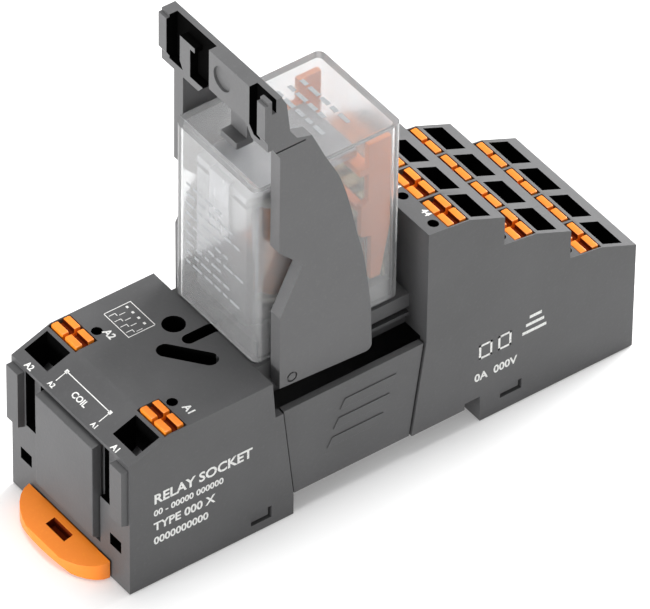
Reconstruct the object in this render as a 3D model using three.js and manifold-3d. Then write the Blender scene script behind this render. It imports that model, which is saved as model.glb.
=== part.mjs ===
// Plug in relay: a four pole relay in a rail mounted socket with push in terminals.
// Millimetres. X runs from the coil end to the contact end, Y across, Z up.
// The draft frame has X = 0 at the coil end face, Y = 0 on the centre line and Z = 0 at
// the underside. The finished group is moved so that its origin is the middle of the base.

import * as THREE from 'three';
import { mergeVertices } from 'three/addons/utils/BufferGeometryUtils.js';
import Module from 'manifold-3d';

const wasm = await Module();
wasm.setup();

// ---------------------------------------------------------------- driving dimensions

const gap = 0.3;                    // clearance between pieces that meet

// Socket housing
const wall = 1.6;                   // outer wall of the housing
const coilBlockHeight = 30.0;
const coilBlockTopLength = 27.4;    // up to the relay
const bevelLength = 7.5;            // sloping front edge over the coil end face
const bevelDrop = 2.75;
const terminalSolid = 14.0;         // depth of plastic that holds the terminal pockets

// Rail recess for a 35 mm top hat rail
const railSlotStart = 31.7;
const railSlotLength = 36.8;
const railSlotDepth = 4.0;
const hookReach = 1.9;
const hookBottom = 0.5;
const hookTop = 2.6;
const hookHalfWidth = 9.0;

// Side panels between the two blocks
const panelTop = 22.6;
const panelLean = 2.2;              // how far each slanted seam leans over its height
const panelRecess = 0.3;
const panelThickness = 1.3;

// Contact block: three tiers, each with a shallow deck and a wire entry slope
const tierCount = 3;
const tierPitch = 13.4;
const tierDrop = 9.85;
const firstTierLength = 15.0;
const deckDrop = 0.95;
const entryDrop = 3.1;
const entryRun = 7.0;
const firstDeckHeight = 45.4;

// Terminals
const poleCount = 4;
const entryRib = 1.65;              // plastic between the entries of neighbouring poles
const entryLength = 3.9;
const entryInset = 0.8;             // from the knee of the slope to the entry
const entryDepth = 10.0;
const coilEntryLength = 4.4;
const coilEntryStart = 1.9;
const pusherLength = 3.6;
const pusherWidth = 3.2;
const pusherSpacing = 0.5;          // between the two pushers of one terminal
const poleGap = 0.55;               // between the pushers of neighbouring poles
const pusherHeight = 6.3;
const pusherProud = 0.35;
const pusherSetback = 0.3;          // from the knee back to the pusher
const pusherSlot = 0.9;
const pusherTravel = 1.2;
const coilPusherStart = 7.2;
const testHoleRadius = 0.95;
const testHoleDepth = 5.0;
const testHoleSetback = 1.7;        // from the pusher to the middle of the hole
const coilTestHoleX = 12.3;

// Sockets for a plug in module on top of the coil block
const moduleDepth = 6.0;
const moduleHole = { x: 23.0, y: 4.4, radius: 1.95 };
const moduleStraightSlot = { x: 22.9, y: 0.2, width: 2.2 };
const moduleSlantedSlot = { x0: 18.4, y0: 0.2, x1: 22.8, y1: -5.4, width: 3.0 };

// Pockets in the side faces, each with a raised tab
const pocketDepth = 0.9;
const pocketShadow = 0.5;           // open edge beside the tab
const frontPocket = { x0: 23.4, x1: 27.4, z0: 1.7, z1: 4.1 };
const rearPocket = { x0: 72.5, x1: 76.8, z0: 2.8, z1: 4.8 };

// Coil end face
const flangeReach = 1.3;
const flangeWidth = 3.1;
const flangeBottom = 14.4;
const flangeTop = 26.2;
const endRecessDepth = 0.9;
const endPlateHalfWidth = 7.7;
const endPlateBottom = 5.6;
const endSlotHalfWidth = 12.0;
const endSlotBottom = 15.2;
const endSlotTop = 26.6;
const endSlotWidth = 1.2;           // of the upright openings beside the end plate
const endPlateDrop = 0.7;           // shadow line over the end plate
const latchHole = { near: 10.6, far: 13.6, z0: 7.0, z1: 9.4 };

// Relay seat between the blocks
const seatTop = 29.84;
const seatThickness = 6.8;
const seatLedge = { start: 39.8, top: 27.1, middle: 25.9, bottom: 25.3, depth: 0.9 };

// Rail foot
const footHalfWidth = 11.0;
const footReach = 6.0;
const footHeight = 3.6;
const footNeckHalfWidth = 7.2;
const footBottom = 0.6;
const footTop = 3.1;
const footNose = 1.8;               // how far its tip reaches under the rail
const footWindow = { x0: 9.0, x1: 25.0, halfWidth: 4.4 };
const footFinger = { near: 1.2, far: 2.4, drop: 0.4 };
const driverSlot = { x0: -3.1, x1: -1.4, halfWidth: 2.5, floor: 1.5 };

// Relay
const relayLength = 28.0;
const relayWidth = 21.5;
const relayHeight = 35.8;
const relayFrontClearance = 0.33;   // from the coil block
const relayRearClearance = 1.67;    // to the contact block
const coverWall = 0.9;
const coverCorner = 1.3;
const coverTopChamfer = 0.9;        // must stay thinner than the wall of the cover
const baseThickness = 3.2;
const bladeThickness = 0.6;
const bladeWidth = 2.6;
const bladeDrop = 4.8;              // blade length below the relay base
const poleSpacing = 4.5;
const coilBladeOffset = 4.5;

// Retaining and ejecting clip. Heights named rise are above the seated relay.
const pivotSetback = 4.87;          // from the front of the relay
const pivotDrop = 2.54;             // below the seat
const pivotRadius = 1.2;
const armClearance = 0.75;          // between the relay and each arm
const armThickness = 2.4;
const armFoot = 1.2;                // clearance over the side panels' seat
const barRise = 20.36;
const barThickness = 2.6;
const clipPocketDepth = 1.5;        // the bar's pockets are closed behind
const clipPocketRise = 11.5;
const nearPocketY = -9.0;
const farPocketY = 1.5;
const earRise = 19.8;
const earSlotRise = 17.7;
const prongGap = 1.2;
const prongHalfWidth = 2.1;
const prongPad = 1.3;
const thumbPad = { y: -1.9, rise: 16.8, radius: 2.2, depth: 0.5 };

// ---------------------------------------------------------------- solids

function solid(geometry) {
  const plain = geometry.index ? geometry.toNonIndexed() : geometry.clone();
  plain.deleteAttribute('normal');
  plain.deleteAttribute('uv');
  const merged = mergeVertices(plain, 1e-5);
  return new wasm.Manifold(new wasm.Mesh({
    numProp: 3,
    vertProperties: new Float32Array(merged.attributes.position.array),
    triVerts: new Uint32Array(merged.index.array),
  }));
}

function block(x0, x1, y0, y1, z0, z1) {
  const box = new THREE.BoxGeometry(x1 - x0, y1 - y0, z1 - z0);
  box.translate((x0 + x1) / 2, (y0 + y1) / 2, (z0 + z1) / 2);
  return solid(box);
}

function shapeOf(points) {
  return new THREE.Shape(points.map(([a, b]) => new THREE.Vector2(a, b)));
}

// An outline in X and Z, carried from y0 to y1.
function sideProfile(outline, y0, y1, curveSegments = 8) {
  const shape = Array.isArray(outline) ? shapeOf(outline) : outline;
  const body = new THREE.ExtrudeGeometry(shape, { depth: y1 - y0, bevelEnabled: false, curveSegments });
  body.rotateX(Math.PI / 2);
  body.translate(0, y1, 0);
  return solid(body);
}

// An outline in Y and Z, carried from x0 to x1.
function endProfile(points, x0, x1) {
  const body = new THREE.ExtrudeGeometry(shapeOf(points), { depth: x1 - x0, bevelEnabled: false });
  body.rotateY(Math.PI / 2);
  body.rotateX(Math.PI / 2);
  body.translate(x0, 0, 0);
  return solid(body);
}

// An outline in X and Y, carried from z0 to z1.
function plan(outline, z0, z1, curveSegments = 6) {
  const shape = Array.isArray(outline) ? shapeOf(outline) : outline;
  const body = new THREE.ExtrudeGeometry(shape, { depth: z1 - z0, bevelEnabled: false, curveSegments });
  body.translate(0, 0, z0);
  return solid(body);
}

function roundedPlan(x0, x1, y0, y1, radius) {
  const shape = new THREE.Shape();
  shape.moveTo(x0 + radius, y0);
  shape.lineTo(x1 - radius, y0);
  shape.absarc(x1 - radius, y0 + radius, radius, -Math.PI / 2, 0);
  shape.lineTo(x1, y1 - radius);
  shape.absarc(x1 - radius, y1 - radius, radius, 0, Math.PI / 2);
  shape.lineTo(x0 + radius, y1);
  shape.absarc(x0 + radius, y1 - radius, radius, Math.PI / 2, Math.PI);
  shape.lineTo(x0, y0 + radius);
  shape.absarc(x0 + radius, y0 + radius, radius, Math.PI, 1.5 * Math.PI);
  return shape;
}

// A slot with round ends between two points, seen from above.
function slotPlan(ax, ay, bx, by, width) {
  const along = Math.atan2(by - ay, bx - ax);
  const shape = new THREE.Shape();
  shape.absarc(bx, by, width / 2, along - Math.PI / 2, along + Math.PI / 2);
  shape.absarc(ax, ay, width / 2, along + Math.PI / 2, along + 1.5 * Math.PI);
  return shape;
}

function uprightCylinder(x, y, z0, z1, radius, segments = 20) {
  const rod = new THREE.CylinderGeometry(radius, radius, z1 - z0, segments);
  rod.rotateX(Math.PI / 2);
  rod.translate(x, y, (z0 + z1) / 2);
  return solid(rod);
}

function crossCylinder(x, z, y0, y1, radius, segments = 24) {
  const rod = new THREE.CylinderGeometry(radius, radius, y1 - y0, segments);
  rod.translate(x, (y0 + y1) / 2, z);
  return solid(rod);
}

// A turned piece on an upright axis; the profile holds [radius, z] points and is closed.
function turned(x, y, profile, segments = 32) {
  const ring = profile.map(([radius, z]) => new THREE.Vector2(radius, z));
  ring.push(ring[0].clone());
  const body = new THREE.LatheGeometry(ring, segments);
  body.rotateX(Math.PI / 2);
  body.translate(x, y, 0);
  return solid(body);
}

function join(...parts) {
  return parts.reduce((whole, part) => whole.add(part));
}

function cut(body, ...tools) {
  return tools.reduce((rest, tool) => rest.subtract(tool), body);
}

// The same piece on both sides of the centre line.
function bothSides(make) {
  return join(make(1), make(-1));
}

function span(side, near, far) {
  return side > 0 ? [near, far] : [-far, -near];
}

function sideBlock(side, x0, x1, near, far, z0, z1) {
  const [y0, y1] = span(side, near, far);
  return block(x0, x1, y0, y1, z0, z1);
}

function sideSlice(side, outline, near, far) {
  const [y0, y1] = span(side, near, far);
  return sideProfile(outline, y0, y1);
}

// ---------------------------------------------------------------- materials and nodes

const looks = {
  housing: { color: 0x3b3b3d, roughness: 0.62, metalness: 0.0 },
  clip: { color: 0x444446, roughness: 0.55, metalness: 0.0 },
  orange: { color: 0xee7d1e, roughness: 0.45, metalness: 0.0 },
  clear: { color: 0xe6eaee, roughness: 0.1, metalness: 0.0, transparent: true, opacity: 0.35 },
  relayBase: { color: 0x2a2a2c, roughness: 0.5, metalness: 0.0 },
  nylon: { color: 0xe8e4da, roughness: 0.5, metalness: 0.0 },
  copper: { color: 0xa8673a, roughness: 0.35, metalness: 0.9 },
  steel: { color: 0xb4b6b9, roughness: 0.35, metalness: 1.0 },
  brass: { color: 0xc9a85c, roughness: 0.3, metalness: 1.0 },
  salmon: { color: 0xe8784a, roughness: 0.5, metalness: 0.0 },
};

const relaySocket = new THREE.Group();

function node(name, body, look) {
  const mesh = body.getMesh();
  const positions = new Float32Array(mesh.numVert * 3);
  for (let i = 0; i < mesh.numVert; i += 1) {
    for (let k = 0; k < 3; k += 1) {
      positions[3 * i + k] = mesh.vertProperties[mesh.numProp * i + k];
    }
  }
  const geometry = new THREE.BufferGeometry();
  geometry.setAttribute('position', new THREE.BufferAttribute(positions, 3));
  geometry.setIndex(new THREE.BufferAttribute(new Uint32Array(mesh.triVerts), 1));
  const piece = new THREE.Mesh(geometry, new THREE.MeshStandardMaterial(looks[look]));
  piece.name = name;
  relaySocket.add(piece);
}

// ---------------------------------------------------------------- worked out sizes

const pusherPitch = pusherWidth + pusherSpacing;
const polePitch = 2 * pusherPitch + poleGap;
const entryWidth = polePitch - entryRib;
const halfWidth = polePitch * poleCount / 2;
const innerHalf = halfWidth - wall;
const relayStart = coilBlockTopLength + relayFrontClearance;
const relayEnd = relayStart + relayLength;
const relayHalf = relayWidth / 2;
const relayBottom = seatTop + gap;
const relayTop = relayBottom + relayHeight;
const contactBlockStart = relayEnd + relayRearClearance;
const socketLength = contactBlockStart + firstTierLength + (tierCount - 1) * tierPitch;
const railSlotEnd = railSlotStart + railSlotLength;
const panelLeft = railSlotStart - panelLean;
const panelRight = contactBlockStart;
const seatBottom = seatTop - seatThickness;
const armInner = relayHalf + armClearance;
const armOuter = armInner + armThickness;
const seatHalfWidth = armInner - gap;
const pivotX = relayStart + pivotSetback;
const pivotZ = seatTop - pivotDrop;
const pusherPocketWidth = pusherPitch + pusherWidth + 2 * gap;
const coilTerminalY = halfWidth - polePitch / 2;

// Surface of the tiers: deck start, knee and lip of each one.
const tiers = Array.from({ length: tierCount }, (_, index) => {
  const lipX = socketLength - (tierCount - 1 - index) * tierPitch;
  const deckZ = firstDeckHeight - index * tierDrop;
  return {
    deckX: index === 0 ? contactBlockStart : lipX - tierPitch,
    deckZ,
    kneeX: lipX - entryRun,
    kneeZ: deckZ - deckDrop,
    lipX,
    lipZ: deckZ - deckDrop - entryDrop,
  };
});

const poleY = Array.from({ length: poleCount }, (_, pole) => halfWidth - (pole + 0.5) * polePitch);

// ---------------------------------------------------------------- terminals

// Each terminal has one wide wire entry, two pushers behind it and a test hole.
const contactTerminals = [];
tiers.forEach((tier, row) => {
  const digit = [4, 1, 2][row];
  poleY.forEach((y, pole) => {
    contactTerminals.push({
      name: `${pole + 1}${digit}`,
      y,
      top: tier.kneeZ,
      pusherX: tier.kneeX - pusherSetback - pusherLength,
      entryX: tier.kneeX + entryInset,
      entryLength,
      holeX: tier.kneeX - pusherSetback - pusherLength - testHoleSetback,
      holeY: y - pusherPitch / 2,
    });
  });
});
const coilTerminals = [['a2', coilTerminalY], ['a1', -coilTerminalY]].map(([name, y]) => ({
  name,
  y,
  top: coilBlockHeight,
  pusherX: coilPusherStart,
  entryX: coilEntryStart,
  entryLength: coilEntryLength,
  holeX: coilTestHoleX,
  holeY: y - Math.sign(y) * pusherPitch / 2,
}));
const terminals = [...coilTerminals, ...contactTerminals];

function terminalPockets(terminal) {
  const { y, top, pusherX, entryX, holeX, holeY } = terminal;
  const above = top + 3;
  const pusherPocket = block(
    pusherX - gap, pusherX + pusherLength + gap,
    y - pusherPocketWidth / 2, y + pusherPocketWidth / 2,
    top - pusherHeight - pusherTravel - gap, above,
  );
  const entry = block(
    entryX, entryX + terminal.entryLength, y - entryWidth / 2, y + entryWidth / 2, top - entryDepth, above,
  );
  const hole = uprightCylinder(holeX, holeY, top - testHoleDepth, above, testHoleRadius, 12);
  return [pusherPocket, entry, hole];
}

function pusher(terminal, offset) {
  const { pusherX, top } = terminal;
  const y = terminal.y + offset;
  const roof = top + pusherProud;
  const middle = pusherX + pusherLength / 2;
  const outline = [
    [pusherX, top - pusherHeight],
    [pusherX + pusherLength, top - pusherHeight],
    [pusherX + pusherLength, roof],
    [middle + pusherSlot / 2, roof],
    [middle + pusherSlot / 2, roof - 0.8],
    [middle - pusherSlot / 2, roof - 0.8],
    [middle - pusherSlot / 2, roof],
    [pusherX, roof],
  ];
  return sideProfile(outline, y - pusherWidth / 2, y + pusherWidth / 2);
}

// ---------------------------------------------------------------- socket housing

function coilBlockOutline() {
  return [
    [0, 0],
    [railSlotStart, 0],
    [railSlotStart, railSlotDepth],
    [panelLeft, panelTop],
    [coilBlockTopLength + 0.6, panelTop],
    [coilBlockTopLength, coilBlockHeight],
    [bevelLength, coilBlockHeight],
    [0, coilBlockHeight - bevelDrop],
  ];
}

function contactBlockOutline() {
  const steps = tiers.flatMap((tier) => [
    [tier.deckX, tier.deckZ],
    [tier.kneeX, tier.kneeZ],
    [tier.lipX, tier.lipZ],
  ]);
  return [
    [panelRight - panelLean - gap, railSlotDepth],
    [railSlotEnd, railSlotDepth],
    [railSlotEnd, 0],
    [socketLength, 0],
    ...steps.reverse(),
    [contactBlockStart, panelTop],
  ];
}

// The room for the clamps, open downwards onto the base frame.
function housingRoom() {
  const coilRoof = coilBlockHeight - terminalSolid;
  const roofs = tiers.map((tier) => tier.lipZ - terminalSolid + entryDrop);
  const steps = tiers.flatMap((tier, index) => [
    [index === 0 ? contactBlockStart + wall : tier.deckX - wall, roofs[index]],
    [tier.lipX - wall, roofs[index]],
  ]);
  const outline = [
    [wall, railSlotDepth - gap],
    [socketLength - wall, railSlotDepth - gap],
    ...steps.reverse(),
    [contactBlockStart + wall, seatBottom],
    [coilBlockTopLength - 0.4, seatBottom],
    [coilBlockTopLength - 0.4, coilRoof],
    [wall, coilRoof],
  ];
  return sideProfile(outline, -innerHalf, innerHalf);
}

function footOpening() {
  return block(
    -1, railSlotStart + 1, -footNeckHalfWidth - gap, footNeckHalfWidth + gap, -1, footTop + gap,
  );
}

function endFaceDetail() {
  const recess = block(
    -1, endRecessDepth, -endSlotHalfWidth, endSlotHalfWidth, endSlotBottom, endSlotTop,
  );
  const plateSeat = block(
    -1, endRecessDepth, -endPlateHalfWidth - gap, endPlateHalfWidth + gap, endPlateBottom - gap, endSlotTop,
  );
  const latchHoles = bothSides((side) => sideBlock(
    side, -1, wall + 1, latchHole.near, latchHole.far, latchHole.z0, latchHole.z1,
  ));
  const openings = [endPlateHalfWidth + gap, endSlotHalfWidth - endSlotWidth].map((near) => bothSides(
    (side) => sideBlock(side, -1, wall + 1, near, near + endSlotWidth, endSlotBottom, endSlotTop - 1),
  ));
  return join(recess, plateSeat, latchHoles, ...openings);
}

function endFlanges() {
  const outline = [
    [-flangeReach, flangeBottom + 0.6],
    [gap, flangeBottom],
    [gap, flangeTop],
    [-flangeReach, flangeTop],
  ];
  const outer = halfWidth - 0.4;
  return bothSides((side) => sideSlice(side, outline, outer - flangeWidth, outer));
}

function moduleSockets() {
  const roof = coilBlockHeight + 1;
  const floor = coilBlockHeight - moduleDepth;
  const round = uprightCylinder(moduleHole.x, moduleHole.y, floor, roof, moduleHole.radius);
  const { x, y, width } = moduleStraightSlot;
  const straight = plan(slotPlan(x, y, coilBlockTopLength + 2, y, width), floor, roof);
  const { x0, y0, x1, y1 } = moduleSlantedSlot;
  const slanted = plan(slotPlan(x0, y0, x1, y1, moduleSlantedSlot.width), floor, roof);
  return [round, straight, slanted];
}

// A shallow pocket whose tab leaves a dark edge at the end and below.
function sidePocket(side, { x0, x1, z0, z1 }) {
  const floor = halfWidth - pocketDepth;
  const pocket = sideBlock(side, x0, x1, floor, halfWidth + 1, z0, z1);
  const tab = sideBlock(
    side, x0 - 1, x1 - pocketShadow, floor - 1, halfWidth - gap, z0 + pocketShadow, z1 + 1,
  );
  return cut(pocket, tab);
}

// Dark corner of the rail recess under the fixed hook.
function hookRelief() {
  const start = railSlotEnd - hookReach - 1.2;
  return bothSides((side) => sideBlock(
    side, start, railSlotEnd, innerHalf - gap, halfWidth + 1, -1, railSlotDepth + 1.3,
  ));
}

// Two long steps in each side of the seat.
function seatLedges() {
  const { start, top, middle, bottom, depth } = seatLedge;
  const inner = seatHalfWidth - depth;
  return bothSides((side) => join(
    sideBlock(side, start, contactBlockStart + 2, inner, seatHalfWidth + 1, middle, top),
    sideBlock(side, start, contactBlockStart + 2, inner, seatHalfWidth + 1, seatBottom - 1, bottom),
  ));
}

function socketHousing() {
  const coilBlock = sideProfile(coilBlockOutline(), -halfWidth, halfWidth);
  const contactBlock = sideProfile(contactBlockOutline(), -halfWidth, halfWidth);
  const seat = cut(
    block(coilBlockTopLength - 1, contactBlockStart + 1, -seatHalfWidth, seatHalfWidth, seatBottom, seatTop),
    seatLedges(),
  );
  const hook = block(
    railSlotEnd - hookReach, railSlotEnd + gap, -hookHalfWidth, hookHalfWidth, hookBottom, hookTop,
  );
  const belowCoil = block(wall, railSlotStart - wall, -innerHalf, innerHalf, -1, railSlotDepth);
  const belowContacts = block(
    railSlotEnd + wall, socketLength - wall, -innerHalf, innerHalf, -1, railSlotDepth,
  );
  const shell = cut(
    join(coilBlock, contactBlock, seat), housingRoom(), belowCoil, belowContacts, footOpening(),
    endFaceDetail(),
    ...moduleSockets(), bothSides((side) => sidePocket(side, frontPocket)),
    bothSides((side) => sidePocket(side, rearPocket)), hookRelief(), ...terminals.flatMap(terminalPockets),
  );
  const bladeHoles = bladePlaces().map(({ x, y }) => block(
    x - bladeThickness / 2 - gap, x + bladeThickness / 2 + gap,
    y - bladeWidth / 2 - gap, y + bladeWidth / 2 + gap, seatBottom - 1, seatTop + 1,
  ));
  const pivotHoles = crossCylinder(pivotX, pivotZ, -seatHalfWidth - 1, seatHalfWidth + 1, pivotRadius + gap);
  const coreHalf = seatHalfWidth - 1.3;
  const pivotCore = block(pivotX - 3, pivotX + 3, -coreHalf, coreHalf, seatBottom, seatTop);
  const ejectorRoom = bothSides((side) => sideBlock(
    side, ejector.x0 - 2.2, ejector.x1 + gap, ejector.inner - gap, seatHalfWidth + 1,
    ejector.z0 - 1.2, seatTop + 1,
  ));
  return join(cut(shell, ...bladeHoles, cut(pivotHoles, pivotCore), ejectorRoom), hook, endFlanges());
}

// ---------------------------------------------------------------- base frame

// The rail bears on the raised middle of the floor, clear of the hook and the foot.
function baseFrame() {
  const floorTop = railSlotDepth + wall;
  const floorBottom = railSlotDepth + gap;
  const bearing = [railSlotStart + footNose + 2 * gap, railSlotEnd - hookReach - 2 * gap];
  const innerFloor = block(
    wall + gap, socketLength - wall - gap, -innerHalf + gap, innerHalf - gap, floorBottom, floorTop,
  );
  const railFace = block(bearing[0], bearing[1], -innerHalf + gap, innerHalf - gap, railSlotDepth, floorTop);
  const faceY = halfWidth - panelRecess;
  const panelOutline = [
    [railSlotStart + gap, railSlotDepth],
    [panelRight - panelLean - 2 * gap, railSlotDepth],
    [panelRight - gap, panelTop],
    [panelLeft + gap, panelTop],
  ];
  const panels = bothSides((side) => sideSlice(side, panelOutline, faceY - panelThickness, faceY));
  const bridge = block(
    bearing[0], panelRight - panelLean - 3 * gap, -faceY, faceY, railSlotDepth, floorTop,
  );
  const guides = bothSides((side) => sideBlock(
    side, 6, railSlotStart - wall - gap, footNeckHalfWidth + gap, footNeckHalfWidth + 1.5,
    footBottom, floorTop,
  ));
  return join(innerFloor, railFace, panels, bridge, guides);
}

function endPlate() {
  const top = endSlotTop - endPlateDrop;
  const outline = [
    [-flangeReach, endPlateBottom + 1.2],
    [endRecessDepth - gap, endPlateBottom],
    [endRecessDepth - gap, top],
    [-flangeReach, top - gap],
  ];
  return sideProfile(outline, -endPlateHalfWidth, endPlateHalfWidth);
}

// ---------------------------------------------------------------- rail foot

function railFoot() {
  const handlePlan = new THREE.Shape();
  handlePlan.moveTo(-gap, -footHalfWidth);
  const bulge = footHalfWidth * 0.56;
  handlePlan.bezierCurveTo(-footReach * 0.57, -footHalfWidth, -footReach, -bulge, -footReach, 0);
  handlePlan.bezierCurveTo(-footReach, bulge, -footReach * 0.57, footHalfWidth, -gap, footHalfWidth);
  const lip = sideProfile([
    [-gap, 0.1],
    [-footReach + 1.2, 0.1],
    [-footReach, 1.2],
    [-footReach + 0.5, 2.3],
    [-gap, footHeight],
  ], -footHalfWidth - 1, footHalfWidth + 1);
  const handle = plan(handlePlan, 0, footHeight + 1, 8).intersect(lip);
  const toolSlot = block(
    driverSlot.x0, driverSlot.x1, -driverSlot.halfWidth, driverSlot.halfWidth,
    driverSlot.floor, footHeight + 1,
  );
  const slider = sideProfile([
    [-gap - 1, footBottom],
    [railSlotStart + footNose, footBottom],
    [railSlotStart + footNose, footBottom + 0.7],
    [railSlotStart + footNose - 1.2, hookTop],
    [railSlotStart - 1, footTop],
    [-gap - 1, footTop],
  ], -footNeckHalfWidth, footNeckHalfWidth);
  const window = block(
    footWindow.x0, footWindow.x1, -footWindow.halfWidth, footWindow.halfWidth, -1, footTop + 1,
  );
  const fingers = bothSides((side) => sideBlock(
    side, footWindow.x0 - 0.5, footWindow.x1 - 1, footFinger.near, footFinger.far,
    footBottom, footTop - footFinger.drop,
  ));
  return join(cut(join(cut(handle, toolSlot), slider), window), fingers);
}

// ---------------------------------------------------------------- relay

const coverInside = relayHalf - coverWall;
const baseTop = relayBottom + gap + baseThickness;
const coilBottom = baseTop + 2.6;
const coilHeight = 20.8;
const flangeRadius = 7.2;
const windingRadius = 6.7;
const coreRadius = 2.5;
const yokeWidth = 13.0;
const yokeThickness = 1.4;
const coreTop = coilBottom + coilHeight + 1.5;
const armatureGap = 0.9;
const armatureThickness = 1.3;
const springThickness = 0.3;
const yokeX = relayStart + coverWall + springThickness + 2 * gap;
const coilX = yokeX + yokeThickness + gap + flangeRadius;
const contactRows = {
  common: relayEnd - 8.9,
  open: relayEnd - 5.3,
  closed: relayEnd - 1.5,
};
const commonLevel = baseTop + 14.5;
const contactSpread = 1.9;          // from the moving leaf to each fixed contact
const poleOffsets = Array.from(
  { length: poleCount },
  (_, pole) => (poleCount / 2 - 0.5 - pole) * poleSpacing,
);
const coilBladeX = relayStart + 4.2;

function bladePlaces() {
  const contactPlaces = Object.values(contactRows).flatMap((x) => poleOffsets.map((y) => ({ x, y })));
  const coilPlaces = [coilBladeOffset, -coilBladeOffset].map((y) => ({ x: coilBladeX, y }));
  return [...contactPlaces, ...coilPlaces];
}

function relayCover() {
  const outer = plan(
    roundedPlan(relayStart, relayEnd, -relayHalf, relayHalf, coverCorner), relayBottom, relayTop,
  );
  const inner = plan(
    roundedPlan(
      relayStart + coverWall, relayEnd - coverWall, -coverInside, coverInside, coverCorner - coverWall / 2,
    ),
    relayBottom - 1, relayTop - coverWall,
  );
  const chamfer = coverTopChamfer;
  const endTrim = sideProfile([
    [relayStart - 1, relayTop + 1],
    [relayStart - 1, relayTop - chamfer - 1],
    [relayStart, relayTop - chamfer],
    [relayStart + chamfer, relayTop],
    [relayStart + chamfer + 1, relayTop + 1],
  ], -relayHalf - 1, relayHalf + 1);
  return cut(outer, inner, endTrim);
}

function relayBase() {
  const inset = coverWall + gap;
  const plate = block(
    relayStart + inset, relayEnd - inset, -relayHalf + inset, relayHalf - inset, relayBottom + gap, baseTop,
  );
  const holes = bladePlaces().map(({ x, y }) => block(
    x - bladeThickness / 2 - gap, Math.min(x + bladeThickness / 2 + gap, relayEnd - inset + 1),
    y - bladeWidth / 2 - gap, y + bladeWidth / 2 + gap, relayBottom - 1, baseTop + 1,
  ));
  return cut(plate, ...holes);
}

// A stamped strip whose centre line runs through the points, in X and Z.
function strip(points, y, width, thickness) {
  const legs = points.slice(1).map(([x1, z1], index) => {
    const [x0, z0] = points[index];
    const grow = thickness / 2;
    return block(
      Math.min(x0, x1) - grow, Math.max(x0, x1) + grow, y - width / 2, y + width / 2,
      Math.min(z0, z1) - (z0 === z1 ? grow : 0), Math.max(z0, z1) + grow,
    );
  });
  return join(...legs);
}

const bladeBottom = relayBottom - bladeDrop;

function commonContact(y) {
  const tip = contactRows.closed - 1.6;
  const leaf = strip([
    [contactRows.common, bladeBottom],
    [contactRows.common, commonLevel],
    [tip, commonLevel],
  ], y, bladeWidth, bladeThickness);
  const button = uprightCylinder(tip - 0.9, y, commonLevel - 0.6, commonLevel + 0.6, 0.8, 12);
  return join(leaf, button);
}

function openContact(y) {
  const level = commonLevel - contactSpread;
  const tip = contactRows.closed - 1.4;
  const stem = strip([
    [contactRows.open, bladeBottom],
    [contactRows.open, level],
    [tip, level],
  ], y, bladeWidth, bladeThickness);
  const button = uprightCylinder(tip - 1.1, y, level, level + 0.6, 0.8, 12);
  return join(stem, button);
}

function closedContact(y) {
  const level = commonLevel + contactSpread;
  const tip = contactRows.closed - 3.3;
  const stem = strip([
    [contactRows.closed, bladeBottom],
    [contactRows.closed, level],
    [tip, level],
  ], y, bladeWidth, bladeThickness);
  const button = uprightCylinder(tip + 0.8, y, level - 0.6, level, 0.8, 12);
  return join(stem, button);
}

function coilBlade(y) {
  return block(
    coilBladeX - bladeThickness / 2, coilBladeX + bladeThickness / 2,
    y - bladeWidth / 2, y + bladeWidth / 2, bladeBottom, baseTop + 0.4,
  );
}

function coilBobbin() {
  const top = coilBottom + coilHeight;
  const tube = coreRadius + 1.1;
  const bore = coreRadius + gap;
  const flange = 1.1;
  return turned(coilX, 0, [
    [bore, coilBottom],
    [flangeRadius, coilBottom],
    [flangeRadius, coilBottom + flange],
    [tube, coilBottom + flange],
    [tube, top - flange],
    [flangeRadius, top - flange],
    [flangeRadius, top],
    [bore, top],
  ]);
}

function coilWinding() {
  const inside = coreRadius + 1.1 + gap;
  const low = coilBottom + 1.1 + gap;
  const high = coilBottom + coilHeight - 1.1 - gap;
  return turned(coilX, 0, [[inside, low], [windingRadius, low], [windingRadius, high], [inside, high]]);
}

function ironCore() {
  const shaft = uprightCylinder(coilX, 0, coilBottom - 0.3, coreTop - 0.5, coreRadius, 24);
  const pole = uprightCylinder(coilX, 0, coreTop - 1.2, coreTop, 4.0, 24);
  return join(shaft, pole);
}

function yoke() {
  const footZ = coilBottom - 0.3 - gap;
  return sideProfile([
    [yokeX, footZ - yokeThickness],
    [coilX + 5, footZ - yokeThickness],
    [coilX + 5, footZ],
    [yokeX + yokeThickness, footZ],
    [yokeX + yokeThickness, coreTop],
    [yokeX, coreTop],
  ], -yokeWidth / 2, yokeWidth / 2);
}

const armatureX = yokeX + yokeThickness / 2;
const armatureZ = coreTop + armatureGap;
const actuatorX = relayEnd - 6.6;

function armature() {
  const plate = block(
    yokeX, actuatorX + 0.6, -yokeWidth / 2, yokeWidth / 2, armatureZ, armatureZ + armatureThickness,
  );
  const heel = block(yokeX, yokeX + yokeThickness, -3, 3, armatureZ - armatureGap + gap, armatureZ + 0.5);
  return join(plate, heel);
}

// A leaf that grips the yoke's back and presses on the armature's tail.
function returnSpring() {
  const back = yokeX - gap - springThickness;
  const above = armatureZ + armatureThickness + gap;
  const leaf = block(back, back + springThickness, -2.5, 2.5, coreTop - 9, above + springThickness);
  const fingertip = block(back, armatureX - 0.1, -2.5, 2.5, above, above + springThickness);
  return join(leaf, fingertip);
}

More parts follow.
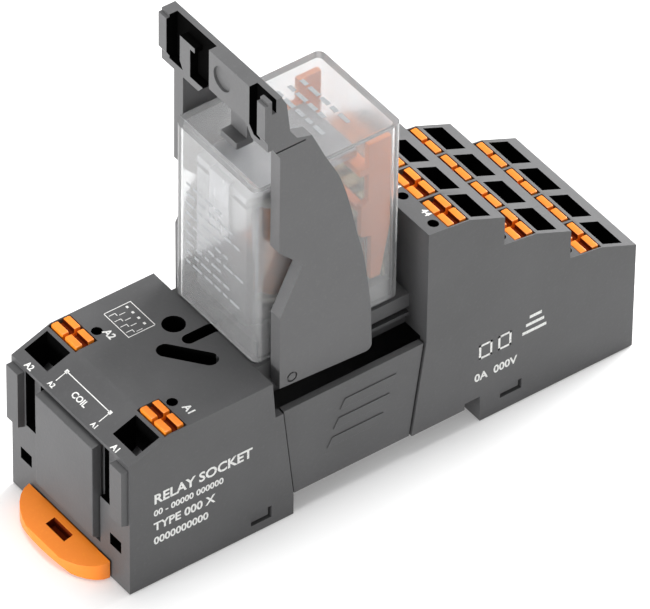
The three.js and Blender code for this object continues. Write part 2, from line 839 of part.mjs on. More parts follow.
function contactActuator() {
  const inner = poleOffsets[0] + bladeWidth / 2 + gap;
  const outer = coverInside - gap;
  const low = baseTop + gap + 1.5;
  const high = relayTop - coverWall - 1.4;
  const leafTop = commonLevel + bladeThickness / 2;
  const cheek = [
    [actuatorX + 1.4, low],
    [relayEnd - 3.2, low],
    [relayEnd - 1.5, commonLevel - 3],
    [relayEnd - 1.5, high],
    [actuatorX + 0.7, high],
    [actuatorX + 0.7, commonLevel + 4],
    [actuatorX - 0.6, commonLevel + 3.4],
    [actuatorX - 0.6, commonLevel - 3],
    [actuatorX + 1.4, commonLevel - 3.6],
  ];
  const cheeks = bothSides((side) => sideSlice(side, cheek, inner, outer));
  const driver = block(
    actuatorX - 1.0, actuatorX + 1.5, -outer, outer, armatureZ - gap - 1.4, armatureZ - gap,
  );
  const comb = block(
    actuatorX - 0.6, actuatorX + 0.8, -outer, outer, leafTop + 1.25, leafTop + 2.6,
  );
  return join(cheeks, driver, comb);
}

// ---------------------------------------------------------------- retaining clip

const ejector = {
  x0: pivotX + 4.4,
  x1: pivotX + 6.4,
  z0: relayBottom - gap - 1.6,
  z1: relayBottom - gap,
  inner: relayHalf - 0.4,
};
const armFront = pivotX - 2.75;
const earFront = pivotX - 5.7;
const barFront = pivotX - 5.1;
const barBack = barFront + barThickness;
const barTop = relayTop + barRise;
const earTop = relayTop + earRise;

// Side view of an arm. Its lower points follow the pivot and its upper points the relay's top.
function armShape() {
  const foot = panelTop + armFoot + gap;
  const low = (x, z) => [pivotX + x, foot + z];
  const high = (x, z) => [pivotX + x, relayTop + z];
  const shape = new THREE.Shape();
  shape.moveTo(...low(-2.4, 1.9));
  shape.lineTo(...low(14.2, 0.9));
  shape.quadraticCurveTo(...low(15.5, 0.9), ...low(15.5, 2.3));
  shape.lineTo(...low(15.2, 10.3));
  shape.bezierCurveTo(...low(14.4, 17.5), ...low(13.6, 22.5), ...high(12.4, -15.6));
  shape.bezierCurveTo(...high(11.2, -10.0), ...high(10.2, -5.0), ...high(8.4, -0.8));
  shape.lineTo(...high(5.9, 4.1));
  shape.lineTo(...high(3.25, 9.8));
  shape.lineTo(...high(0.4, 10.7));
  shape.lineTo(...high(-0.9, 12.7));
  shape.lineTo(...high(-1.6, 18.5));
  shape.lineTo(barBack, barTop - 0.3);
  shape.lineTo(barBack - 0.3, barTop);
  shape.lineTo(barFront + 0.3, barTop);
  shape.lineTo(barFront + 0.3, earTop);
  shape.lineTo(earFront, earTop);
  shape.lineTo(earFront, relayTop + 13.0);
  shape.lineTo(...high(-2.75, 8.1));
  shape.lineTo(...high(-2.75, -11.4));
  shape.lineTo(...low(1.85, 25.7));
  shape.lineTo(...low(-2.5, 16.7));
  return shape;
}

// Cross bar between the arms.
function clipBar() {
  const at = (y, rise) => [y, relayTop + rise];
  return endProfile([
    at(-armOuter, 10.4),
    at(-9.6, 10.4),
    at(-8.2, 12.5),
    at(2.2, 12.5),
    at(4.2, 10.1),
    at(armOuter, 10.1),
    [armOuter, barTop],
    [-armOuter, barTop],
  ], barFront, barBack);
}

// Pockets in the bar's front, open at the top: a wide one with a hooked tab, a narrow one
// whose slot runs out through the near ear, and a round thumb pad between them.
function clipPockets() {
  const at = (y, rise) => [y, relayTop + rise];
  const floor = barFront + clipPocketDepth;
  const farPocket = endProfile([
    at(armInner + gap, clipPocketRise),
    at(armInner + gap, barRise + 1),
    at(farPocketY, barRise + 1),
    at(farPocketY, clipPocketRise),
  ], barFront - 1, floor);
  const tab = endProfile([
    at(9.1, clipPocketRise + 1.4),
    at(9.1, 18.0),
    at(5.2, 18.0),
    at(5.2, 17.0),
    at(6.4, 17.0),
    at(6.4, clipPocketRise - 1),
    at(7.8, clipPocketRise - 1),
  ], barFront, floor + 1);
  const nearPocket = endProfile([
    at(-armInner - gap, clipPocketRise),
    at(-armInner - gap, barRise + 1),
    at(nearPocketY, barRise + 1),
    at(nearPocketY, clipPocketRise + 1.4),
    at(nearPocketY - 1.2, clipPocketRise),
  ], barFront - 1, floor);
  const earSlot = block(
    floor - 0.8, floor, -armOuter - 1, nearPocketY, relayTop + earSlotRise, barTop + 1,
  );
  const pad = new THREE.CylinderGeometry(thumbPad.radius, thumbPad.radius, 2 * thumbPad.depth, 20);
  pad.rotateZ(Math.PI / 2);
  pad.translate(barFront, thumbPad.y, relayTop + thumbPad.rise);
  return join(cut(farPocket, tab), nearPocket, earSlot, solid(pad));
}

// A pad over the relay, hung from the back of the bar on a rib.
function clipProng() {
  const bottom = relayTop + prongGap;
  return sideProfile([
    [barBack - 0.4, relayTop + 16.0],
    [barBack - 0.4, relayTop + 13.6],
    [barBack + 2.1, relayTop + 10.0],
    [barBack + 2.1, bottom + prongPad],
    [barBack + 0.1, bottom + prongPad],
    [barBack + 0.1, bottom],
    [barBack + 3.3, bottom],
    [barBack + 3.3, relayTop + 10.6],
    [barBack + 0.6, relayTop + 16.0],
  ], -prongHalfWidth, prongHalfWidth);
}

// Dark line round each arm under its ear, and the round mark of the pivot.
function armMarks() {
  const line = relayTop + 9.3;
  return bothSides((side) => {
    const [y0, y1] = span(side, armOuter - gap, armOuter + 1);
    return join(
      sideBlock(side, armFront - 3, pivotX + 2.1, armOuter - gap, armOuter + 1, line, line + gap),
      cut(crossCylinder(pivotX, pivotZ, y0, y1, 1.0), crossCylinder(pivotX, pivotZ, y0, y1, 0.7)),
    );
  });
}

function retainingClip() {
  const arms = bothSides((side) => sideSlice(side, armShape(), armInner, armOuter));
  const nubs = bothSides((side) => {
    const [y0, y1] = span(side, armInner - 1.3, armInner + 0.5);
    return crossCylinder(pivotX, pivotZ, y0, y1, pivotRadius);
  });
  const ejectors = bothSides((side) => sideBlock(
    side, ejector.x0, ejector.x1, ejector.inner, armInner + 0.5, ejector.z0, ejector.z1,
  ));
  return join(cut(join(arms, clipBar()), clipPockets(), armMarks()), clipProng(), nubs, ejectors);
}

// ---------------------------------------------------------------- assembly

node('socket_housing', socketHousing(), 'housing');
node('base_frame', baseFrame(), 'housing');
node('end_plate', endPlate(), 'housing');
node('rail_foot', railFoot(), 'orange');
node('retaining_clip', retainingClip(), 'clip');

node('relay_cover', relayCover(), 'clear');
node('relay_base', relayBase(), 'relayBase');
node('coil_bobbin', coilBobbin(), 'nylon');
node('coil_winding', coilWinding(), 'copper');
node('iron_core', ironCore(), 'steel');
node('yoke', yoke(), 'steel');
node('armature', armature(), 'steel');
node('return_spring', returnSpring(), 'steel');
node('contact_actuator', contactActuator(), 'salmon');

poleOffsets.forEach((y, pole) => {
  node(`common_contact_${pole + 1}1`, commonContact(y), 'brass');
  node(`closed_contact_${pole + 1}2`, closedContact(y), 'brass');
  node(`open_contact_${pole + 1}4`, openContact(y), 'brass');
});
node('coil_blade_a1', coilBlade(-coilBladeOffset), 'brass');
node('coil_blade_a2', coilBlade(coilBladeOffset), 'brass');

terminals.forEach((terminal) => {
  node(`pusher_${terminal.name}_left`, pusher(terminal, pusherPitch / 2), 'orange');
  node(`pusher_${terminal.name}_right`, pusher(terminal, -pusherPitch / 2), 'orange');
});

// The origin stands under the middle of the whole object.
relaySocket.children.forEach((piece) => {
  piece.position.x = -(socketLength - footReach) / 2;
});

export default relaySocket;
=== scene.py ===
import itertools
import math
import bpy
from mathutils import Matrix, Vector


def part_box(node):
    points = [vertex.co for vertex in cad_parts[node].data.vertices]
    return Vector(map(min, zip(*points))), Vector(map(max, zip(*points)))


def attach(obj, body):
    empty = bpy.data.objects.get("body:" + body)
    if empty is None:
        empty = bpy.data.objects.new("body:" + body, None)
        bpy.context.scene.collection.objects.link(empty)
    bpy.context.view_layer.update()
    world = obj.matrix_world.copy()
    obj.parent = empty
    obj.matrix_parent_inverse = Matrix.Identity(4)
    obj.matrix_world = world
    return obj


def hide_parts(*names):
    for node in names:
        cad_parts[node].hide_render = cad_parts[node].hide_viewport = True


bl_info = {
    "name": "Plug in relay looks",
    "version": (1, 0, 0),
    "blender": (4, 5, 0),
    "location": "3D View > Sidebar > Relay",
    "description": "Finishes a plug in relay on its rail socket: plastics, metal parts, prints and stage",
    "category": "Object",
}

import bmesh
import bpy
from bpy.props import FloatProperty, FloatVectorProperty, PointerProperty
from mathutils import Matrix, Vector

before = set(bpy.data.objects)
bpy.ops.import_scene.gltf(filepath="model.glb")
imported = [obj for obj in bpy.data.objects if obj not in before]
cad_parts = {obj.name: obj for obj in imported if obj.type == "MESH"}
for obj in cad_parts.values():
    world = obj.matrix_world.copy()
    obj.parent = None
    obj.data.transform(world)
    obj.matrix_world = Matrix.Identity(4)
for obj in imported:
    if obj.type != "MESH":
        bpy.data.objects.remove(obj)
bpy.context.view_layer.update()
MM = 0.001

FLANGE_REACH = 1.3 * MM         # the housing's flanges stand before its end face
PANEL_MIDDLE = 46.4 * MM
ENTRY_DEPTH = 10.5 * MM
ENTRY_RIM = 3.4 * MM
TEST_HOLE_REACH = 1.05 * MM
MODULE_START, MODULE_END = 17.0 * MM, 28.0 * MM
MODULE_HALF_WIDTH = 8.0 * MM
MODULE_DEPTH = 6.5 * MM
END_OPENINGS = (7.8 * MM, 13.7 * MM)
CLIP_POCKET_DEPTH = 2.3 * MM
CLIP_POCKET_HEIGHT = 9.2 * MM
CLIP_POCKET_HALF_WIDTH = 11.85 * MM
DECK_DROP = 0.95
FIRST_DECK, LOWER_DECK = 8.0, 6.4
PUSHER_TO_KNEE = 3.9 * MM

AZIMUTH, ELEVATION, ROLL = math.radians(-36.94), math.radians(42.276), math.radians(0.834)
TARGET = Vector((1.4, -0.45, 20.0)) * MM
SHIFT = (0.0078, 0.0323)

TERMINALS = ["a2", "a1"] + [f"{pole}{digit}" for digit in (4, 1, 2) for pole in (1, 2, 3, 4)]
CONTACTS = [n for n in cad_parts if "_contact_" in n or n.startswith("coil_blade")]
IRON = ["iron_core", "yoke", "armature"]


def colour(name, description, default):
    return FloatVectorProperty(
        name=name, description=description, default=default, subtype="COLOR", size=3, min=0.0, max=1.0
    )


def length(name, description, default):
    return FloatProperty(
        name=name, description=description, default=default * MM, unit="LENGTH", subtype="DISTANCE", min=0.0
    )


class RelaySizes(bpy.types.PropertyGroup):
    """Sizes of the finished detail."""

    housing_edge: length("Housing edge", "Rounding of the housing's edges", 0.22)
    clip_edge: length("Clip edge", "Rounding of the clip's edges", 0.2)
    cover_edge: length("Cover edge", "Rounding of the relay cover's edges", 0.3)
    pusher_edge: length("Pusher edge", "Rounding of the pushers' edges", 0.28)
    foot_edge: length("Foot edge", "Rounding of the rail foot's edges", 0.35)
    print_height: length("Print height", "How far a print stands on its surface", 0.03)
    wire_pitch: length("Wire pitch", "Spacing of the turns on the coil", 0.42)


class RelayColours(bpy.types.PropertyGroup):
    """Colours of the plastics, metals and prints, and the near black painted shade laid in pockets and slots.
    """

    housing: colour("Housing", "Socket housing plastic", (0.069, 0.069, 0.071))
    # painted shade: near black colour laid on pocket faces in place of their shadow
    painted_shade_tint: colour("Recess", "Deep pockets of the black mouldings", (0.0015, 0.0015, 0.0015))
    clip: colour("Clip", "Retaining clip plastic", (0.094, 0.094, 0.096))
    orange: colour("Orange", "Pushers and rail foot", (0.86, 0.225, 0.012))
    # painted shade: dark orange laid on the faces inside the pusher and foot slots
    orange_painted_shade: colour("Orange shade", "Slots of the pushers and of the foot", (0.13, 0.015, 0.003))
    cover: colour("Cover", "Clear relay cover", (0.88, 0.885, 0.89))
    grey_print: colour("Grey print", "Faint print on the relay cover", (0.32, 0.33, 0.34))
    salmon: colour("Actuator", "Contact actuator", (0.92, 0.23, 0.012))
    base: colour("Relay base", "Moulded relay base", (0.03, 0.03, 0.032))
    nylon: colour("Bobbin", "Coil bobbin", (0.72, 0.69, 0.62))
    copper: colour("Copper", "Enamelled coil wire", (0.5, 0.2, 0.075))
    iron: colour("Iron", "Plated soft iron", (0.5, 0.5, 0.52))
    brass: colour("Brass", "Contact strips", (0.68, 0.55, 0.32))
    ink: colour("Ink", "White prints", (0.82, 0.82, 0.8))


class RelayStage(bpy.types.PropertyGroup):
    """Floor, light and camera."""

    floor: colour("Floor", "Plain floor", (0.8, 0.8, 0.8))
    sky: FloatProperty(name="Sky", description="Strength of the even light", default=0.5, min=0.0)
    key: FloatProperty(
        name="Key", description="Power of the large soft light", default=5.0, min=0.0, unit="POWER"
    )
    side: FloatProperty(
        name="Side", description="Power of the light on the end face", default=6.2, min=0.0, unit="POWER"
    )
    deck: FloatProperty(
        name="Deck", description="Power of the light on the contact block's slopes", default=9.0, min=0.0,
        unit="POWER",
    )
    lens: FloatProperty(name="Lens", description="Focal length", default=539.05, min=1.0, unit="CAMERA")
    distance: FloatProperty(
        name="Distance", description="Camera to object", default=1.5380, min=0.1, unit="LENGTH"
    )


# ------------------------------------------------------------------ shader maths


class Field:
    """A shader socket that takes part in arithmetic on values."""

    def __init__(self, finish, socket):
        self.finish = finish
        self.socket = socket

    def maths(self, operation, first, second):
        return self.finish.node("ShaderNodeMath", {"operation": operation}, {0: first, 1: second})

    def __add__(self, other):
        return self.maths("ADD", self, other)

    def __radd__(self, other):
        return self.maths("ADD", other, self)

    def __sub__(self, other):
        return self.maths("SUBTRACT", self, other)

    def __rsub__(self, other):
        return self.maths("SUBTRACT", other, self)

    def __mul__(self, other):
        return self.maths("MULTIPLY", self, other)

    def __rmul__(self, other):
        return self.maths("MULTIPLY", other, self)


class Finish:
    """One material, built node by node around its surface shader."""

    def __init__(self, name, **constants):
        self.material = bpy.data.materials.new(name)
        self.material.use_nodes = True
        self.tree = self.material.node_tree
        self.tree.nodes.clear()
        self.shader = self.tree.nodes.new("ShaderNodeBsdfPrincipled")
        output = self.tree.nodes.new("ShaderNodeOutputMaterial")
        self.tree.links.new(self.shader.outputs[0], output.inputs[0])
        for socket, value in constants.items():
            self.shader.inputs[socket.replace("_", " ")].default_value = value

    def feed(self, socket, value):
        if isinstance(value, Field):
            self.tree.links.new(value.socket, socket)
        elif socket.type == "RGBA" and len(value) == 3:
            socket.default_value = (*value, 1.0)
        else:
            socket.default_value = value

    def node(self, kind, settings=None, sockets=None, output=0):
        made = self.tree.nodes.new(kind)
        for name, value in (settings or {}).items():
            setattr(made, name, value)
        for name, value in (sockets or {}).items():
            self.feed(made.inputs[name], value)
        return Field(self, made.outputs[output])

    def place(self):
        return self.node("ShaderNodeTexCoord", output="Object")

    def stretched(self, scale):
        return self.node("ShaderNodeMapping", sockets={"Vector": self.place(), "Scale": scale})

    def noise(self, per_metre, detail=3.0, roughness=0.55, where=None):
        return self.node("ShaderNodeTexNoise", sockets={
            "Vector": where or self.place(), "Scale": per_metre, "Detail": detail, "Roughness": roughness,
        })

    def grain(self, per_metre, randomness=1.0):
        return self.node("ShaderNodeTexVoronoi", {"feature": "SMOOTH_F1"}, {
            "Vector": self.place(), "Scale": per_metre, "Randomness": randomness,
        })

    def blend(self, amount, first, second):
        return self.node("ShaderNodeMix", {"data_type": "RGBA"}, {0: amount, 6: first, 7: second}, output=2)

    def ramp(self, value, low, high):
        return self.node("ShaderNodeMapRange", sockets={
            "Value": value, "From Min": low, "From Max": high, "To Min": 0.0, "To Max": 1.0,
        })

    def surface(self, tint, roughness, relief=None, depth=0.01 * MM):
        self.feed(self.shader.inputs["Base Color"], tint)
        self.feed(self.shader.inputs["Roughness"], roughness)
        if relief is not None:
            bump = self.node("ShaderNodeBump", sockets={"Height": relief, "Distance": depth, "Strength": 1.0})
            self.feed(self.shader.inputs["Normal"], bump)
        return self.material


def shade(tint, factor):
    return tuple(min(1.0, c * factor) for c in tint)


def moulded_plastic(name, tint, roughness, depth, coarse=1500.0, spread=0.16):
    """Spark eroded moulding: fine pits, soft cloudiness and slightly polished high spots."""
    finish = Finish(name, IOR=1.5)
    cloud = finish.noise(60.0, 4.0)
    pits = finish.grain(coarse * 1.3)
    fine = finish.noise(coarse, 2.0, 0.6)
    relief = pits * 0.6 + fine * 0.4
    light = shade(tint, 1.0 + spread)
    dark = shade(tint, 1.0 - spread)
    mottled = finish.blend(finish.ramp(cloud, 0.3, 0.7), dark, light)
    speckled = finish.blend(finish.ramp(fine, 0.55, 0.8) * 0.25, mottled, shade(tint, 1.6))
    return finish.surface(speckled, roughness + (cloud - 0.5) * 0.16, relief, depth)


def painted_shade_plastic(name, tint):
    """Painted shade: a near black copy of the moulding with hardly any gloss, laid on the faces inside
    pockets in place of the shadow there.
    """
    finish = Finish(name, IOR=1.5, Specular_IOR_Level=0.02)
    cloud = finish.noise(90.0, 4.0)
    pits = finish.grain(1900.0)
    mottled = finish.blend(finish.ramp(cloud, 0.3, 0.7), shade(tint, 0.8), shade(tint, 1.25))
    return finish.surface(mottled, 0.75 + (cloud - 0.5) * 0.16, pits, 0.01 * MM)


def glossy_plastic(name, tint, roughness, depth):
    """Smooth moulding with faint flow waves and fine scuffs."""
    finish = Finish(name, IOR=1.5)
    flow = finish.noise(140.0, 3.0, 0.5, finish.stretched((1.0, 1.0, 0.35)))
    scuffs = finish.noise(2600.0, 2.0, 0.7)
    tinted = finish.blend(finish.ramp(flow, 0.25, 0.75), shade(tint, 0.9), shade(tint, 1.08))
    return finish.surface(tinted, roughness + (scuffs - 0.5) * 0.2, flow * 0.7 + scuffs * 0.3, depth)


def clear_plastic(name, tint):
    """Clear polycarbonate, lightly frosted, with a few flow waves."""
    finish = Finish(name, IOR=1.45, Transmission_Weight=0.84)
    flow = finish.noise(90.0, 3.0, 0.5)
    frost = finish.noise(1800.0, 2.0, 0.6)
    tinted = finish.blend(finish.ramp(flow, 0.3, 0.7), shade(tint, 0.97), tint)
    roughness = 0.09 + (flow - 0.5) * 0.1 + frost * 0.05
    return finish.surface(tinted, roughness, flow * 0.8 + frost * 0.2, 0.03 * MM)


def painted_glow_rim(name, tint):
    """Rounded edge of the clear cover, with a painted glow: a faint emission stands in for the light gathered
    inside the wall.
    """
    # painted glow: the rim emits faintly in its own tint
    glow = (*tint, 1.0)
    finish = Finish(name, IOR=1.5, Transmission_Weight=0.4, Emission_Color=glow, Emission_Strength=0.22)
    waves = finish.noise(420.0, 3.0)
    tinted = finish.blend(finish.ramp(waves, 0.3, 0.7), shade(tint, 0.85), tint)
    return finish.surface(tinted, 0.16 + (waves - 0.5) * 0.12, waves, 0.01 * MM)


def brushed_metal(name, tint, roughness, along=(1.0, 1.0, 0.06)):
    """Rolled or stamped strip with fine lines along one way."""
    finish = Finish(name, Metallic=1.0)
    lines = finish.noise(3200.0, 3.0, 0.6, finish.stretched(along))
    stain = finish.noise(170.0, 4.0)
    tinted = finish.blend(finish.ramp(stain, 0.35, 0.75), shade(tint, 0.82), shade(tint, 1.1))
    return finish.surface(tinted, roughness + (lines - 0.5) * 0.24, lines, 0.004 * MM)


def enamelled_wire(name, tint):
    """Copper wire under clear enamel."""
    finish = Finish(name, Metallic=0.85, Coat_Weight=0.6, Coat_Roughness=0.15)
    batch = finish.noise(500.0, 2.0)
    tinted = finish.blend(finish.ramp(batch, 0.3, 0.7), shade(tint, 0.75), shade(tint, 1.2))
    return finish.surface(tinted, 0.3 + (batch - 0.5) * 0.12, batch, 0.004 * MM)


def white_ink(name, tint):
    """Pad printed ink, thin in places."""
    finish = Finish(name)
    cover = finish.noise(3500.0, 3.0, 0.7)
    tinted = finish.blend(finish.ramp(cover, 0.28, 0.5), shade(tint, 0.55), tint)
    return finish.surface(tinted, 0.55 + (cover - 0.5) * 0.2, cover, 0.006 * MM)


def floor_paint(name, tint):
    """Even matte floor with a faint glow, so that shadows stay light."""
    finish = Finish(name, Emission_Color=(1.0, 1.0, 1.0, 1.0), Emission_Strength=0.2)
    cloud = finish.noise(3.0, 3.0)
    tinted = finish.blend(cloud, shade(tint, 0.995), tint)
    return finish.surface(tinted, 0.9 + (cloud - 0.5) * 0.05)


# ------------------------------------------------------------------ mesh helpers


def add_piece(name, mesh, material, body):
    piece = bpy.data.objects.new(name, mesh)
    bpy.context.scene.collection.objects.link(piece)
    mesh.materials.clear()
    mesh.materials.append(material)
    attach(piece, body)
    return piece


def even_normals(piece):
    weighted = piece.modifiers.new("even_normals", "WEIGHTED_NORMAL")
    weighted.keep_sharp = True
    weighted.weight = 100


def clean(bm):
    """Joins the vertices that meet and melts the flat triangles into whole faces."""
    bmesh.ops.remove_doubles(bm, verts=bm.verts, dist=0.002 * MM)
    bmesh.ops.dissolve_limit(
        bm, angle_limit=math.radians(0.6), verts=bm.verts, edges=bm.edges, use_dissolve_boundaries=False
    )


def round_edges(bm, width, shortest, segments=2, angle=24.0, rim=-1):
    """Rounds the long sharp edges, and leaves those of small holes as they are."""
    edges = [
        e for e in bm.edges
        if len(e.link_faces) == 2
        and e.calc_face_angle(0.0) > math.radians(angle)
        and e.calc_length() > shortest
    ]
    bmesh.ops.bevel(
        bm, geom=edges, offset=width, offset_type="OFFSET", segments=segments, profile=0.5,
        affect="EDGES", clamp_overlap=True, material=rim,
    )


def finish_mesh(bm, mesh):
    for face in bm.faces:
        face.smooth = True
    for edge in bm.edges:
        edge.smooth = len(edge.link_faces) != 2 or edge.calc_face_angle(0.0) < math.radians(38.0)
    bm.to_mesh(mesh)
    bm.free()


def rounded_copy(node, name, width, material, body, shortest=0.55 * MM, segments=2, painted_shade_mask=None,
                 painted_light_material=None, rim=-1):
    """A copy of a CAD node with its edges rounded, which stands for that node.

    The faces that the mask picks out take the second material, a painted shade; where the rim index is 1, the
    rounded edges take it instead, as a painted glow.
    """
    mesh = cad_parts[node].data.copy()
    mesh.name = name
    piece = add_piece(name, mesh, material, body)
    if painted_light_material:
        mesh.materials.append(painted_light_material)
    bm = bmesh.new()
    bm.from_mesh(mesh)
    clean(bm)
    for face in bm.faces:
        # painted shade: the masked faces take the second, darker material
        face.material_index = 1 if painted_shade_mask and painted_shade_mask(face) else 0
    round_edges(bm, width, shortest, segments, rim=rim)
    finish_mesh(bm, mesh)
    even_normals(piece)
    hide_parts(node)
    return piece


def paint_node(node, material):
    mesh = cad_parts[node].data
    mesh.materials.clear()
    mesh.materials.append(material)


def box_into(bm, low, high):
    corners = itertools.product(*zip(low, high))
    verts = [bm.verts.new(c) for c in corners]
    for ring in ((0, 1, 3, 2), (4, 6, 7, 5), (0, 4, 5, 1), (2, 3, 7, 6), (0, 2, 6, 4), (1, 5, 7, 3)):
        bm.faces.new([verts[i] for i in ring])


class Plane:
    """A flat place on the object: a corner, the way the print reads, its up way and the way out."""

    def __init__(self, corner, along, up):
        self.corner = Vector(corner)
        self.along = Vector(along).normalized()
        self.up = Vector(up).normalized()
        self.out = self.along.cross(self.up)

    def matrix(self, a, b, rise=0.0):
        spot = self.corner + self.along * a + self.up * b + self.out * rise
        turn = Matrix((self.along, self.up, self.out)).transposed().to_4x4()
        return Matrix.Translation(spot) @ turn

    def bar(self, bm, a0, a1, b0, b1, height):
        """A thin raised bar between two corners on the plane."""
        inner = bmesh.new()
        box_into(inner, (a0, b0, -0.02 * MM), (a1, b1, height))
        inner.transform(self.matrix(0.0, 0.0))
        copy = bpy.data.meshes.new("bar")
        inner.to_mesh(copy)
        inner.free()
        bm.from_mesh(copy)
        bpy.data.meshes.remove(copy)


def text_into(bm, plane, words, a, b, size, height, start=False):
    """Generic marks set flat on a plane, centred on a point or starting from it."""
    curve = bpy.data.curves.new("mark", "FONT")
    curve.body = words
    curve.size = size
    curve.extrude = height / 2
    curve.offset = size * 0.025
    curve.align_x = "LEFT" if start else "CENTER"
    curve.align_y = "CENTER"
    curve.resolution_u = 3
    carrier = bpy.data.objects.new("mark", curve)
    bpy.context.scene.collection.objects.link(carrier)
    bpy.context.view_layer.update()
    mesh = bpy.data.meshes.new_from_object(carrier)
    mesh.transform(plane.matrix(a, b, height / 2))
    bm.from_mesh(mesh)
    bpy.data.meshes.remove(mesh)
    bpy.data.objects.remove(carrier)
    bpy.data.curves.remove(curve)


def print_piece(name, bm, material, body):
    mesh = bpy.data.meshes.new(name)
    bmesh.ops.recalc_face_normals(bm, faces=bm.faces)
    bm.to_mesh(mesh)
    bm.free()
    piece = bpy.data.objects.new(name, mesh)
    bpy.context.scene.collection.objects.link(piece)
    mesh.materials.append(material)
    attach(piece, body)
    return piece


class Terminal:
    """Where one terminal's pushers, entry and test hole lie, worked out from its pushers."""

    def __init__(self, name):
        low_left, high_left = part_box(f"pusher_{name}_left")
        low_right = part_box(f"pusher_{name}_right")[0]
        self.back = low_left.x
        self.front = high_left.x
        self.y = (low_right.y + high_left.y) / 2
        self.top = high_left.z - 0.35 * MM
        self.pitch = (low_left.y - low_right.y)
        self.coil = name.startswith("a")
        self.hole_x = self.back - 1.7 * MM
        if self.coil:
            self.entry_front = self.back - 0.9 * MM - 4.4 * MM
            self.entry_back = self.back - 0.9 * MM
            self.hole_x = self.back + 5.1 * MM
        else:
            self.entry_front = self.front + 1.1 * MM
            self.entry_back = self.entry_front + 3.9 * MM


# ------------------------------------------------------------------ operators


class MakeSocket(bpy.types.Operator):
    """Socket housing, base frame and end plate with their moulded finish and relief, and painted shade inside
    their pockets and openings
    """

    bl_idname = "relay.make_socket"
    bl_label = "Socket"

    def execute(self, context):
        sizes = context.scene.relay_sizes
        colours = context.scene.relay_colours
        black = moulded_plastic("housing_plastic", colours.housing, 0.5, 0.02 * MM)
        # painted shade: near black, nearly glossless material for the faces inside entries, holes and
        # openings
        painted_light_material = painted_shade_plastic("painted_shade_plastic", colours.painted_shade_tint)
        edge = sizes.housing_edge
        rounded_copy("socket_housing", "housing_shell", edge, black, "socket",
                     painted_shade_mask=self.painted_shade_faces(), painted_light_material=painted_light_material)
        rounded_copy("base_frame", "base_frame_shell", edge * 0.6, black, "socket")
        rounded_copy("end_plate", "end_plate_shell", edge, black, "socket")
        self.panel_relief(black)
        return {"FINISHED"}

    def painted_shade_faces(self):
        """Tells the faces inside the wire entries, test holes, module sockets and end openings, which take
        the painted shade.
        """
        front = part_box("socket_housing")[0].x
        spots = [Terminal(name) for name in TERMINALS]
        top = spots[0].top
        end_face = front + FLANGE_REACH

        def painted_shade_mask(face):
            centre = face.calc_center_median()
            flat = abs(face.normal.z) > 0.5
            for spot in spots:
                inside = abs(centre.y - spot.y) < 3.5 * MM and centre.z < spot.top - 0.15 * MM
                entry = spot.entry_front - 0.3 * MM < centre.x < spot.entry_back + 0.3 * MM
                hole = abs(centre.x - spot.hole_x) < TEST_HOLE_REACH
                if inside and (entry or hole) and centre.z > spot.top - ENTRY_DEPTH:
                    return not (flat and centre.z > spot.top - ENTRY_RIM)
            over = front + MODULE_START < centre.x < front + MODULE_END
            below = top - MODULE_DEPTH < centre.z < top - 0.2 * MM
            if over and below and abs(centre.y) < MODULE_HALF_WIDTH and face.normal.x > -0.99:
                return True
            opening = END_OPENINGS[0] < abs(centre.y) < END_OPENINGS[1] and centre.z < top - 3.0 * MM
            near_end = end_face + 0.05 * MM < centre.x < end_face + 3.0 * MM
            return opening and near_end and abs(face.normal.x) < 0.9

        return painted_shade_mask

    def panel_relief(self, black):
        """Slanted raised bars on the two middle panels."""
        low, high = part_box("base_frame")
        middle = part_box("socket_housing")[0].x + PANEL_MIDDLE
        for side in (-1, 1):
            bm = bmesh.new()
            face = low.y if side < 0 else high.y
            for step in range(3):
                z = (10.2 + 3.5 * step) * MM
                x = middle + (step - 1) * 1.2 * MM
                outline = [(x - 5.6 * MM, z), (x + 4.4 * MM, z)]
                outline += [(x + 5.4 * MM, z + 1.9 * MM), (x - 4.6 * MM, z + 1.9 * MM)]
                ring = [bm.verts.new((px, face, pz)) for px, pz in outline]
                raised = [bm.verts.new((px, face + side * 0.16 * MM, pz)) for px, pz in outline]
                bm.faces.new(ring[::-1])
                bm.faces.new(raised)
                for i in range(4):
                    bm.faces.new((ring[i], ring[(i + 1) % 4], raised[(i + 1) % 4], raised[i]))
            bmesh.ops.recalc_face_normals(bm, faces=bm.faces)
            round_edges(bm, 0.07 * MM, 0.3 * MM, 2)
            mesh = bpy.data.meshes.new("panel_relief")
            finish_mesh(bm, mesh)
            name = "panel_relief_near" if side < 0 else "panel_relief_far"
            piece = add_piece(name, mesh, black, "socket")
            even_normals(piece)


class MakeClip(bpy.types.Operator):
    """Retaining clip with rounded moulded edges and painted shade inside its pockets"""

    bl_idname = "relay.make_clip"
    bl_label = "Clip"

    def execute(self, context):
        colours = context.scene.relay_colours
        satin = moulded_plastic("clip_plastic", colours.clip, 0.46, 0.012 * MM, coarse=1900.0, spread=0.1)
        # painted shade: near black material for the faces inside the bar's pockets
        painted_light_material = painted_shade_plastic("clip_painted_shade_plastic", colours.painted_shade_tint)
        low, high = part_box("retaining_clip")

        def pockets(face):
            """Tells the faces inside the bar's pockets, which take the painted shade."""
            centre = face.calc_center_median()
            front = face.normal.x < -0.9 and centre.x < low.x + 1.0 * MM
            within = centre.x < low.x + CLIP_POCKET_DEPTH and centre.z > high.z - CLIP_POCKET_HEIGHT
            sides = centre.y > 1.4 * MM or centre.y < -8.9 * MM
            return within and sides and not front and abs(centre.y) < CLIP_POCKET_HALF_WIDTH

        edge = context.scene.relay_sizes.clip_edge
        rounded_copy("retaining_clip", "clip_moulding", edge, satin, "clip",
                     shortest=0.5 * MM, painted_shade_mask=pockets, painted_light_material=painted_light_material)
        return {"FINISHED"}


